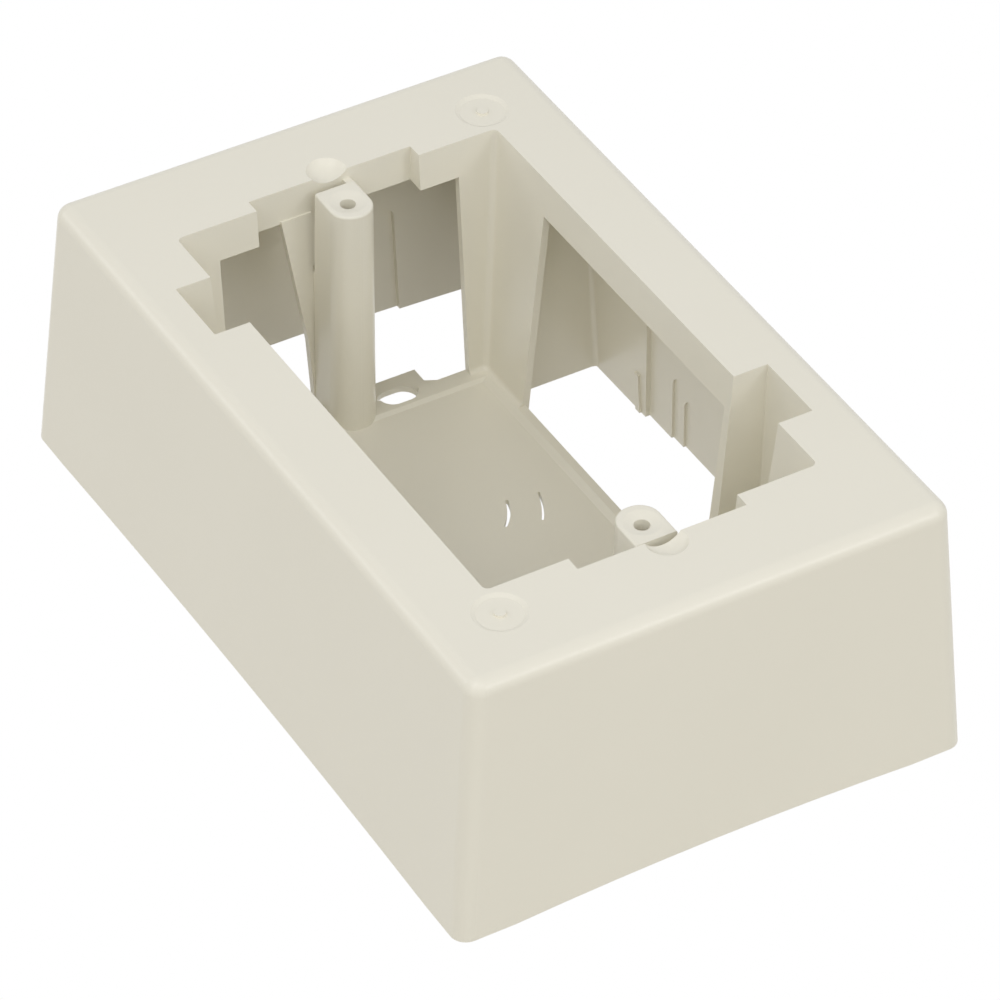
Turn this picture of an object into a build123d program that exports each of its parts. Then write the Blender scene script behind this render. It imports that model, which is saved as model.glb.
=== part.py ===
from build123d import *
import math
import os

# Surface mount box for one gang of a wall plate, moulded in one piece of ABS.
# X runs along the long side, Y along the short side and Z out of the wall.
# The wall side is at z = 0 and the origin is the centre of that side.
# The box looks the same when it is turned by half a turn about Z,
# apart from the one knock-out in its floor. All sizes are in millimetres.

# Outer shell
base_length = 128.0
base_width = 83.9
box_height = 44.5
end_draft = 2.7
side_draft = 3.2
wall = 2.2
top_wall = 2.4
corner_radius = 2.5
top_edge_radius = 2.4
inner_corner_radius = 1.5
rim_arch = 1.0
rim_pad = 9.0

# Opening in the front face and the pocket below it
opening_length = 89.2
opening_width = 54.0
pocket_end_taper = 6.0
pocket_side_taper = 5.0
pocket_wall = 1.2
pocket_corner_radius = 1.0
floor_edge_radius = 0.8
skirt_depth = 6.2
end_bay_width = 27.4
end_bay_depth = 2.5

# Side notches of the opening
notch_start = 22.4
notch_length = 11.9
notch_depth = 5.7
notch_taper = 2.0

# Floor plate against the wall, with a shallow recessed panel
floor_top = 3.0
floor_thickness = 2.2
floor_margin_x = 1.1
floor_margin_y = 0.5
panel_recess = 0.5
panel_inset_x = 1.7
panel_inset_y = 0.85
panel_slope_x = 0.6
panel_slope_y = 1.2
tab_thickness = 1.0
tab_reach = 46.5
tab_far_side = 14.2
tab_near_side = 6.0
tab_corner_x = 43.5
tab_root = 18.5
slot_offset = 8.6
slot_width = 4.8
slot_length = 6.6

# Knock-out rings in the floor: radius, slit width, slit angle, slit span
knockout_centre = -15.3
knockout_rings = ((10.9, 0.5, 58.0, 30.0), (16.0, 0.35, 65.0, 22.0))
knockout_groove = 0.8
knockout_groove_depth = 0.9

# Windows in the pocket walls
end_window_edge = 20.3
side_window_edge = 29.5

# Device screw bosses
screw_spacing = 83.34
boss_half_width = 3.4
boss_front = 37.7
boss_back = 45.6
boss_corner_radius = 3.2
boss_drop = 1.45
boss_edge_radius = 0.4
boss_draft = 0.5
pilot_diameter = 2.4
pilot_depth = 26.0
pilot_mouth_diameter = 5.6
pilot_mouth_depth = 0.5
boss_core_diameter = 4.4
boss_core_depth = 9.0
boss_link_start = 2.2

# Gusset wall behind each boss, hung from the skirt
gusset_thickness = 1.2
gusset_lean = 1.9
gusset_reach = 8.4
gusset_tip_reach = 4.5
gusset_tip = 15.0
gusset_foot_reach = 3.6
gusset_slit_side = 3.3
gusset_slit_bottom = 28.0

# Screwdriver scoops in the front face
scoop_radius = 3.1
scoop_centre = 48.1
scoop_depth = 1.6

# Partitions between the pocket corners and the side walls
partition_place = 34.5
partition_thickness = 1.4
partition_fillet = 0.8
partition_lift = 1.0

# Raceway breakouts, thinned in steps inside the walls: half width, height, depth of the step
breakout_steps = ((18.4, 22.5, 0.8), (12.8, 14.7, 0.4), (10.3, 11.7, 0.4))
breakout_side_draft = 5.0
breakout_corner_radius = 2.4

# Small guide rib beside each side breakout
guide_rib_place = 22.0
guide_rib_width = 1.2
guide_rib_height = 8.5
guide_rib_proud = 0.4

# Gate recesses in the front face
gate_x = 49.5
gate_y = -27.5
gate_diameter = 8.2
gate_slope = 0.7
gate_depth = 0.35
gate_nub_diameter = 1.7

# Sizes worked out from those above
half_opening_x = opening_length / 2
half_opening_y = opening_width / 2
end_bay_x = half_opening_x + end_bay_depth
skirt_bottom = box_height - skirt_depth
pocket_drop = box_height - floor_top
pocket_floor_x = half_opening_x - pocket_drop * math.tan(math.radians(pocket_end_taper))
pocket_floor_y = half_opening_y - pocket_drop * math.tan(math.radians(pocket_side_taper))
screw_x = screw_spacing / 2
boss_top = box_height - boss_drop
floor_bottom = floor_top - floor_thickness
half_turn = Rotation(0, 0, 180)


def block(x_low, x_high, y_low, y_high, z_low, z_high):
    """Plain block between two corners."""
    centre = ((x_low + x_high) / 2, (y_low + y_high) / 2, (z_low + z_high) / 2)
    return Pos(*centre) * Box(x_high - x_low, y_high - y_low, z_high - z_low)


def drafted_block(low_size, z_low, high_size, z_high):
    """Block about the Z axis whose four sides lean, as a mould draft makes them."""
    leaning = []
    for low, high, plane in (
        (low_size[0], high_size[0], Plane.XZ),
        (low_size[1], high_size[1], Plane.YZ),
    ):
        profile = Polygon(
            (-low / 2, z_low),
            (low / 2, z_low),
            (high / 2, z_high),
            (-high / 2, z_high),
            align=None,
        )
        leaning.append(extrude(plane * profile, 2 * base_length, both=True))
    return leaning[0] & leaning[1]


def size_at(z):
    """Length and width of the outer shell at a height."""
    lean = z / box_height
    return (base_length - 2 * end_draft * lean, base_width - 2 * side_draft * lean)


def inner_size_at(z):
    """Length and width of the space between the outer walls at a height."""
    length, width = size_at(z)
    return (length - 2 * wall, width - 2 * wall)


def both_ends(shape):
    """The shape and its copy turned by half a turn about Z."""
    return shape + half_turn * shape


def outer_shell():
    """Drafted cover with rounded edges, hollow from the wall side."""
    outside = drafted_block(size_at(0), 0, size_at(box_height), box_height)
    uprights = outside.edges().filter_by(lambda edge: edge.length < 1.05 * box_height)
    uprights = [edge for edge in uprights if abs(edge.tangent_at(0.5).Z) > 0.9]
    outside = fillet(uprights, corner_radius)
    outside = fillet(outside.faces().sort_by(Axis.Z)[-1].edges(), top_edge_radius)

    ceiling = box_height - top_wall
    hollow = drafted_block(inner_size_at(-wall), -wall, inner_size_at(ceiling), ceiling)
    uprights = [edge for edge in hollow.edges() if abs(edge.tangent_at(0.5).Z) > 0.9]
    hollow = fillet(uprights, inner_corner_radius)
    return outside - hollow


def rim_arches():
    """Shallow arches that lift the rim off the wall between its corners."""
    arches = []
    for chord, run, turn in (
        (base_length - 2 * rim_pad, base_width, 0),
        (base_width - 2 * rim_pad, base_length, 90),
    ):
        radius = (chord**2 / 4 + rim_arch**2) / (2 * rim_arch)
        drum = Rotation(0, 0, turn) * Rotation(90, 0, 0) * Cylinder(radius, 2 * run)
        arches.append(Pos(0, 0, rim_arch - radius) * drum)
    return arches


def pocket_block(grow, z_low):
    """Tapering pocket, grown sideways by a wall, from a low level to the front face."""
    drop = box_height - z_low
    lean_x = drop * math.tan(math.radians(pocket_end_taper))
    lean_y = drop * math.tan(math.radians(pocket_side_taper))
    low_size = (opening_length + 2 * grow - 2 * lean_x, opening_width + 2 * grow - 2 * lean_y)
    high_size = (opening_length + 2 * grow, opening_width + 2 * grow)
    return drafted_block(low_size, z_low, high_size, box_height)


def notch_block(grow, z_low):
    """One tapering side notch, reaching from inside the pocket to its outer face."""
    lean = (box_height - z_low) * math.tan(math.radians(notch_taper))
    high_length = notch_length + 2 * grow
    high_width = 2 * (half_opening_y + notch_depth + grow)
    low_size = (high_length - 2 * lean, high_width - 2 * lean)
    column = drafted_block(low_size, z_low, (high_length, high_width), box_height)
    column = Pos(notch_start + notch_length / 2, 0, 0) * column
    return column & block(0, base_length, pocket_floor_y - 4, base_width, z_low, box_height)


def pocket_walls():
    """Walls of the pocket and its notches, with the skirt of the end bays."""
    walls = pocket_block(pocket_wall, floor_bottom) + both_ends(notch_block(pocket_wall, floor_bottom))
    skirt_x = end_bay_x + pocket_wall
    skirt_y = end_bay_width / 2 + pocket_wall
    walls += block(-skirt_x, skirt_x, -skirt_y, skirt_y, skirt_bottom, box_height)
    return walls & block(-base_length, base_length, -base_width, base_width, 0, box_height - top_wall / 2)


def pocket_space():
    """Everything that is open inside the pocket, down to the floor."""
    space = pocket_block(0, floor_top)
    uprights = [edge for edge in space.edges() if abs(edge.tangent_at(0.5).Z) > 0.9]
    space = fillet(uprights, pocket_corner_radius)
    space = fillet(space.faces().sort_by(Axis.Z)[0].edges(), floor_edge_radius)
    space += both_ends(notch_block(0, floor_top))
    space += block(-end_bay_x, end_bay_x, -end_bay_width / 2, end_bay_width / 2, skirt_bottom - 1, box_height)
    return space


def side_window():
    """Opening in the +Y pocket wall, between a corner column and a notch."""
    far_end = notch_start - pocket_wall
    wall_outside = half_opening_y + pocket_wall + 1
    low = floor_bottom - 1
    return block(-side_window_edge, far_end, pocket_floor_y - 2, wall_outside, low, skirt_bottom)


def end_window():
    """Opening in the -X pocket wall, between the two corner columns."""
    back = end_bay_x + pocket_wall + 1
    low = floor_bottom - 1
    return block(-back, 2 - pocket_floor_x, -end_window_edge, end_window_edge, low, skirt_bottom)


def floor_plate():
    """Plate against the wall with a lower tab at each end."""
    plate_x = pocket_floor_x + floor_margin_x
    plate_y = pocket_floor_y + floor_margin_y
    plate = block(-plate_x, plate_x, -plate_y, plate_y, floor_bottom, floor_top)
    tab = Polygon(
        (-pocket_floor_x, -tab_near_side),
        (-tab_reach, -tab_near_side),
        (-tab_reach, tab_far_side),
        (-tab_corner_x, tab_far_side),
        (-plate_x, tab_root),
        (-pocket_floor_x, tab_root),
        align=None,
    )
    tab = Plane.XY.offset(floor_bottom) * tab
    return plate + both_ends(extrude(tab, tab_thickness, dir=(0, 0, 1)))


def floor_panel():
    """Shallow sunk panel in the pocket floor, with sloping borders."""
    high = (2 * (pocket_floor_x - panel_inset_x), 2 * (pocket_floor_y - panel_inset_y))
    low = (high[0] - 2 * panel_slope_x, high[1] - 2 * panel_slope_y)
    return drafted_block(low, floor_top - panel_recess, high, floor_top)


def wall_slot():
    """Slot for a wall screw in the tab at the -X end."""
    place = Pos(-screw_x, slot_offset, floor_bottom) * Rotation(0, 0, 90)
    return extrude(place * SlotOverall(slot_length, slot_width), 2 * floor_thickness, both=True)


def knockout_cuts():
    """Ring grooves under the cable knock-outs, and the slits that weaken them."""
    cuts = []
    for radius, slit_width, slit_angle, slit_span in knockout_rings:
        ring = Circle(radius + knockout_groove / 2) - Circle(radius - knockout_groove / 2)
        ring = Pos(knockout_centre, 0, floor_bottom) * ring
        cuts.append(extrude(ring, knockout_groove_depth))
        for turn in (0, 180):
            start = slit_angle + turn - slit_span / 2
            arc = CenterArc((0, 0), radius, start, slit_span)
            slit = make_face(offset(arc, slit_width / 2, side=Side.BOTH))
            slit = Pos(knockout_centre, 0, floor_bottom) * slit
            cuts.append(extrude(slit, floor_thickness))
    return cuts


def boss():
    """Screw column at the -X end, rounded towards the pocket and flat at its back."""
    overrun = 2 * boss_corner_radius
    length = boss_back + overrun - boss_front
    middle = (boss_back + overrun + boss_front) / 2
    section = Pos(-middle, 0, boss_top) * RectangleRounded(length, 2 * boss_half_width, boss_corner_radius)
    column = extrude(section, -(boss_top - floor_bottom), taper=-boss_draft)
    rim = column.faces().sort_by(Axis.Z)[-1].edges()
    column = fillet(rim, boss_edge_radius)
    return column & block(-boss_back, 0, -half_opening_y, half_opening_y, 0, box_height)


def boss_link():
    """Bridge from one side of the boss back to the skirt."""
    back = end_bay_x + pocket_wall / 2
    top = boss_top - boss_edge_radius
    return block(-back, -screw_x, boss_link_start, boss_half_width, skirt_bottom, top)


def boss_cuts():
    """Pilot hole with its dished mouth, and the core hole from the wall side."""
    pilot = Pos(-screw_x, 0, boss_top - pilot_depth / 2) * Cylinder(pilot_diameter / 2, pilot_depth)
    mouth = Cone(pilot_diameter / 2, pilot_mouth_diameter / 2, pilot_mouth_depth)
    mouth = Pos(-screw_x, 0, boss_top - pilot_mouth_depth / 2) * mouth
    core = Pos(-screw_x, 0, floor_bottom + boss_core_depth / 2)
    core = core * Cylinder(boss_core_diameter / 2, boss_core_depth)
    return pilot + mouth + core


def gusset():
    """Triangular wall behind the boss, from the skirt down to the tab."""
    outline = Polygon(
        (boss_half_width, floor_bottom),
        (boss_half_width, skirt_bottom + 0.5),
        (-gusset_reach, skirt_bottom + 0.5),
        (-gusset_tip_reach, gusset_tip),
        (-gusset_foot_reach, floor_bottom),
        align=None,
    )
    low_face = end_bay_x - gusset_lean
    back = end_bay_x + gusset_thickness
    slab = Polygon(
        (-end_bay_x, box_height),
        (-low_face, floor_bottom),
        (-low_face - gusset_thickness, floor_bottom),
        (-back, box_height),
        align=None,
    )
    wall_plate = extrude(Plane.YZ.offset(-back - 1) * outline, end_bay_x)
    wall_plate = wall_plate & extrude(Plane.XZ * slab, base_width, both=True)
    spine = block(-end_bay_x, -screw_x, -boss_half_width, boss_half_width, floor_bottom, gusset_slit_bottom)
    lean_space = Polygon(
        (-end_bay_x, box_height),
        (-low_face, floor_bottom),
        (0, floor_bottom),
        (0, box_height),
        align=None,
    )
    spine = spine & extrude(Plane.XZ * lean_space, base_width, both=True)
    gap = block(
        -back - 1,
        -screw_x,
        -gusset_slit_side,
        boss_link_start,
        gusset_slit_bottom,
        skirt_bottom + 0.5,
    )
    return wall_plate - gap + spine


def on_side_wall(shape):
    """Lay a shape drawn about the X axis against the leaning inside of the +Y wall."""
    lean = math.degrees(math.atan(side_draft / box_height))
    return Pos(0, base_width / 2 - wall, 0) * Rotation(lean, 0, 0) * shape


def partition():
    """Wall from a pocket corner column to the +Y side wall, with a round at its foot."""
    face = -partition_place
    top = box_height - top_wall / 2
    plate = block(face - partition_thickness, face, pocket_floor_y, base_width / 2, partition_lift, top)
    round_corner = Pos(face + partition_fillet / 2, 0) * Rectangle(partition_fillet, 2 * partition_fillet)
    round_corner -= Pos(face + partition_fillet, -partition_fillet) * Circle(partition_fillet)
    round_corner = extrude(Pos(0, 0, partition_lift) * round_corner, top - partition_lift)
    plate += on_side_wall(round_corner)
    inside_walls = drafted_block(inner_size_at(0), 0, inner_size_at(box_height), box_height)
    return (plate & inside_walls) - pocket_block(0, 0)


def scoop():
    """Ball that cuts a shallow dish into the front face, above the boss."""
    radius = (scoop_radius**2 + scoop_depth**2) / (2 * scoop_depth)
    return Pos(-scoop_centre, 0, box_height - scoop_depth + radius) * Sphere(radius)


def gate_recess():
    """Shallow round recess with a nub, where the plastic entered the mould."""
    rim_radius = gate_diameter / 2
    place = Pos(gate_x, gate_y, box_height - gate_depth / 2)
    disc = place * Cone(rim_radius - gate_slope, rim_radius, gate_depth)
    return disc - place * Cylinder(gate_nub_diameter / 2, gate_depth)


def breakout_recesses():
    """Nested steps that thin the +Y and -X walls; the other two walls are turned copies."""
    cuts = []
    depth = 0
    for half_width, height, step in breakout_steps:
        depth += step
        foot = half_width + (height + 5) * math.tan(math.radians(breakout_side_draft))
        outline = Polygon((-foot, -5), (foot, -5), (half_width, height), (-half_width, height), align=None)
        outline = fillet(outline.vertices().group_by(Axis.Y)[-1], breakout_corner_radius)
        for half_span, draft, turn in (
            (base_width / 2, side_draft, 0),
            (base_length / 2, end_draft, 90),
        ):
            lean = math.degrees(math.atan(draft / box_height))
            face = Rotation(0, 0, turn) * Pos(0, half_span - wall, 0) * Rotation(90 + lean, 0, 0)
            cuts.append(extrude(face * outline, -depth))
    return cuts


def guide_rib():
    """Small upright rib inside the +Y wall, beside its breakout."""
    near = -guide_rib_place - guide_rib_width / 2
    far = -guide_rib_place + guide_rib_width / 2
    return on_side_wall(block(near, far, -guide_rib_proud, wall / 2, rim_arch, guide_rib_height))


def build_body():
    """The whole moulding."""
    body = outer_shell()
    for arch in rim_arches():
        body -= arch
    for cut in breakout_recesses():
        body -= both_ends(cut)
    body += both_ends(guide_rib())
    body += pocket_walls()
    body += both_ends(partition())
    body -= pocket_space()
    body -= both_ends(side_window())
    body -= both_ends(end_window())
    body += floor_plate()
    body -= floor_panel()
    body += both_ends(boss() + boss_link() + gusset())
    body -= both_ends(boss_cuts())
    body -= both_ends(wall_slot())
    body -= both_ends(scoop())
    body -= both_ends(gate_recess())
    for cut in knockout_cuts():
        body -= cut
    return body


os.makedirs("parts", exist_ok=True)
box_body = build_body()
box_body.label = "box_body"
export_step(box_body, "parts/box_body.step")
print("solids", len(box_body.solids()), "volume", round(box_body.volume, 1))
print("box", box_body.bounding_box())
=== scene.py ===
import bpy
from mathutils import Matrix, Vector

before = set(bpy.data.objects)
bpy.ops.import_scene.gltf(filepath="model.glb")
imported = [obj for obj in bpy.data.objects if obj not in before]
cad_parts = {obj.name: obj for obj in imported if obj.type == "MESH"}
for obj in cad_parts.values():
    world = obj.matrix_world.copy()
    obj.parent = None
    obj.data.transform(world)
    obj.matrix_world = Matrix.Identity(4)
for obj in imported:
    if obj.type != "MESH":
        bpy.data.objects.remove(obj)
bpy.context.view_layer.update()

# Camera
# It looks down on the open front of the box from beyond the +X end,
# at the photograph's angle and with its long lens.
camera_place = Vector((0.605541, -0.361597, 0.619800))
camera_back = Vector((0.651358, -0.391049, 0.650241)).normalized()
camera_side = Vector((0.505966, 0.862472, 0.011848))
camera_up = camera_back.cross(camera_side).normalized()
camera_right = camera_up.cross(camera_back).normalized()
camera_data = bpy.data.cameras.new("camera")
camera_data.lens = 229.0
camera_data.sensor_width = 36.0
camera_data.clip_end = 20.0
camera = bpy.data.objects.new("camera", camera_data)
camera_turn = Matrix((camera_right, camera_up, camera_back)).transposed()
camera.matrix_world = Matrix.Translation(camera_place) @ camera_turn.to_4x4()
bpy.context.scene.collection.objects.link(camera)
bpy.context.scene.camera = camera

# Moulded body
# One shot of ivory ABS with a satin skin. The tool was spark eroded,
# so the skin has a fine even grain, and its colour drifts a little over the piece.


def plastic_skin_group():
    """Colour variation and fine height of a satin moulded skin."""
    group = bpy.data.node_groups.new("moulded_skin", "ShaderNodeTree")
    face = group.interface
    face.new_socket("Colour", in_out="INPUT", socket_type="NodeSocketColor")
    face.new_socket("Shade", in_out="INPUT", socket_type="NodeSocketColor")
    face.new_socket("Grain Size", in_out="INPUT", socket_type="NodeSocketFloat")
    face.new_socket("Roughness", in_out="INPUT", socket_type="NodeSocketFloat")
    face.new_socket("Colour", in_out="OUTPUT", socket_type="NodeSocketColor")
    face.new_socket("Roughness", in_out="OUTPUT", socket_type="NodeSocketFloat")
    face.new_socket("Height", in_out="OUTPUT", socket_type="NodeSocketFloat")
    nodes = group.nodes
    links = group.links
    entry = nodes.new("NodeGroupInput")
    exit_node = nodes.new("NodeGroupOutput")
    place = nodes.new("ShaderNodeTexCoord")

    clouds = nodes.new("ShaderNodeTexNoise")
    clouds.inputs["Scale"].default_value = 28.0
    clouds.inputs["Detail"].default_value = 2.0
    links.new(place.outputs["Object"], clouds.inputs["Vector"])
    cloud_mask = nodes.new("ShaderNodeMapRange")
    cloud_mask.inputs["From Min"].default_value = 0.35
    cloud_mask.inputs["From Max"].default_value = 0.65
    links.new(clouds.outputs["Fac"], cloud_mask.inputs["Value"])
    tint = nodes.new("ShaderNodeMix")
    tint.data_type = "RGBA"
    links.new(cloud_mask.outputs["Result"], tint.inputs["Factor"])
    links.new(entry.outputs["Colour"], tint.inputs["A"])
    links.new(entry.outputs["Shade"], tint.inputs["B"])
    links.new(tint.outputs["Result"], exit_node.inputs["Colour"])

    grain = nodes.new("ShaderNodeTexNoise")
    grain.inputs["Detail"].default_value = 1.0
    links.new(place.outputs["Object"], grain.inputs["Vector"])
    links.new(entry.outputs["Grain Size"], grain.inputs["Scale"])
    links.new(grain.outputs["Fac"], exit_node.inputs["Height"])

    rough = nodes.new("ShaderNodeMapRange")
    rough.inputs["From Min"].default_value = 0.3
    rough.inputs["From Max"].default_value = 0.7
    rough.inputs["To Min"].default_value = -0.04
    rough.inputs["To Max"].default_value = 0.04
    links.new(grain.outputs["Fac"], rough.inputs["Value"])
    total = nodes.new("ShaderNodeMath")
    total.operation = "ADD"
    links.new(entry.outputs["Roughness"], total.inputs[0])
    links.new(rough.outputs["Result"], total.inputs[1])
    links.new(total.outputs["Value"], exit_node.inputs["Roughness"])
    return group


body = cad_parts["box_body"]
ivory = bpy.data.materials.new("ivory_abs")
ivory.use_nodes = True
ivory_nodes = ivory.node_tree.nodes
shader = ivory_nodes["Principled BSDF"]
skin = ivory_nodes.new("ShaderNodeGroup")
skin.node_tree = plastic_skin_group()
skin.inputs["Colour"].default_value = (0.895, 0.863, 0.752, 1.0)
skin.inputs["Shade"].default_value = (0.885, 0.853, 0.742, 1.0)
skin.inputs["Grain Size"].default_value = 1100.0
skin.inputs["Roughness"].default_value = 0.34
bump = ivory_nodes.new("ShaderNodeBump")
bump.inputs["Strength"].default_value = 0.05
bump.inputs["Distance"].default_value = 0.0001
ivory_links = ivory.node_tree.links
ivory_links.new(skin.outputs["Colour"], shader.inputs["Base Color"])
ivory_links.new(skin.outputs["Roughness"], shader.inputs["Roughness"])
ivory_links.new(skin.outputs["Height"], bump.inputs["Height"])
ivory_links.new(bump.outputs["Normal"], shader.inputs["Normal"])
shader.inputs["IOR"].default_value = 1.52
for slot in body.material_slots:
    slot.material = ivory

# Floor
# A faintly lit table of warm white paper that the box lies on with its wall side down.
# The camera and mirror-like reflections see it as white, and it still takes the box's shadow.
# It sits a hair below the box, so that the two share no plane.


def background_rays(nodes, links):
    """Mask of the rays that see the plain white background."""
    path = nodes.new("ShaderNodeLightPath")
    mirrored = nodes.new("ShaderNodeMath")
    mirrored.operation = "MAXIMUM"
    links.new(path.outputs["Is Glossy Ray"], mirrored.inputs[0])
    links.new(path.outputs["Is Transmission Ray"], mirrored.inputs[1])
    mask = nodes.new("ShaderNodeMath")
    mask.operation = "MAXIMUM"
    links.new(path.outputs["Is Camera Ray"], mask.inputs[0])
    links.new(mirrored.outputs["Value"], mask.inputs[1])
    return mask.outputs["Value"]


floor_half = 3.0
floor_level = -0.0002
floor_mesh = bpy.data.meshes.new("studio_floor")
floor_corners = [
    (-floor_half, -floor_half, floor_level),
    (floor_half, -floor_half, floor_level),
    (floor_half, floor_half, floor_level),
    (-floor_half, floor_half, floor_level),
]
floor_mesh.from_pydata(floor_corners, [], [(0, 1, 2, 3)])
studio_floor = bpy.data.objects.new("studio_floor", floor_mesh)
bpy.context.scene.collection.objects.link(studio_floor)
paper = bpy.data.materials.new("studio_paper")
paper.use_nodes = True
paper_nodes = paper.node_tree.nodes
paper_shader = paper_nodes["Principled BSDF"]
paper_shader.inputs["Base Color"].default_value = (0.30, 0.285, 0.25, 1.0)
paper_shader.inputs["Roughness"].default_value = 0.9
paper_shader.inputs["Emission Color"].default_value = (1.0, 0.96, 0.86, 1.0)
paper_shader.inputs["Emission Strength"].default_value = 0.24
paper_white = paper_nodes.new("ShaderNodeEmission")
paper_white.inputs["Strength"].default_value = 1.0
paper_mix = paper_nodes.new("ShaderNodeMixShader")
paper_links = paper.node_tree.links
paper_links.new(background_rays(paper_nodes, paper_links), paper_mix.inputs["Fac"])
paper_links.new(paper_shader.outputs["BSDF"], paper_mix.inputs[1])
paper_links.new(paper_white.outputs["Emission"], paper_mix.inputs[2])
paper_links.new(paper_mix.outputs["Shader"], paper_nodes["Material Output"].inputs["Surface"])
floor_mesh.materials.append(paper)

# Studio light
# Soft even light from all round, as in a light tent, with a large softbox on the -Y side
# and a smaller one over the +X end. Two small lamps, low and farther round the box,
# draw the thin bright lines along the rounded outer edges.
world = bpy.data.worlds.new("studio_world")
bpy.context.scene.world = world
world.use_nodes = True
world_nodes = world.node_tree.nodes
world_links = world.node_tree.links
tent = world_nodes["Background"]
tent.inputs["Color"].default_value = (1.0, 1.0, 1.0, 1.0)
tent.inputs["Strength"].default_value = 0.525
seen = world_nodes.new("ShaderNodeBackground")
seen.inputs["Color"].default_value = (1.0, 1.0, 1.0, 1.0)
seen.inputs["Strength"].default_value = 1.0
world_mix = world_nodes.new("ShaderNodeMixShader")
world_links.new(background_rays(world_nodes, world_links), world_mix.inputs["Fac"])
world_links.new(tent.outputs["Background"], world_mix.inputs[1])
world_links.new(seen.outputs["Background"], world_mix.inputs[2])
world_links.new(world_mix.outputs["Shader"], world_nodes["World Output"].inputs["Surface"])

box_middle = Vector((0.0, 0.0, 0.02))


def add_softbox(name, place, size, power):
    """Square area lamp that points at the middle of the box."""
    lamp_data = bpy.data.lights.new(name, "AREA")
    lamp_data.energy = power
    lamp_data.size = size
    lamp = bpy.data.objects.new(name, lamp_data)
    lamp.location = place
    aim = box_middle - Vector(place)
    lamp.rotation_euler = aim.to_track_quat("-Z", "Y").to_euler()
    bpy.context.scene.collection.objects.link(lamp)


add_softbox("side_lamp", (0.353, -0.757, 0.996), 0.9, 3.8)
add_softbox("end_lamp", (0.836, 0.000, 0.996), 0.6, 1.8)
add_softbox("end_edge_lamp", (1.050, 0.512, 0.570), 0.32, 1.7)
add_softbox("side_edge_lamp", (-0.852, -0.852, 0.487), 0.4, 1.1)

bpy.context.scene.view_settings.view_transform = "Standard"
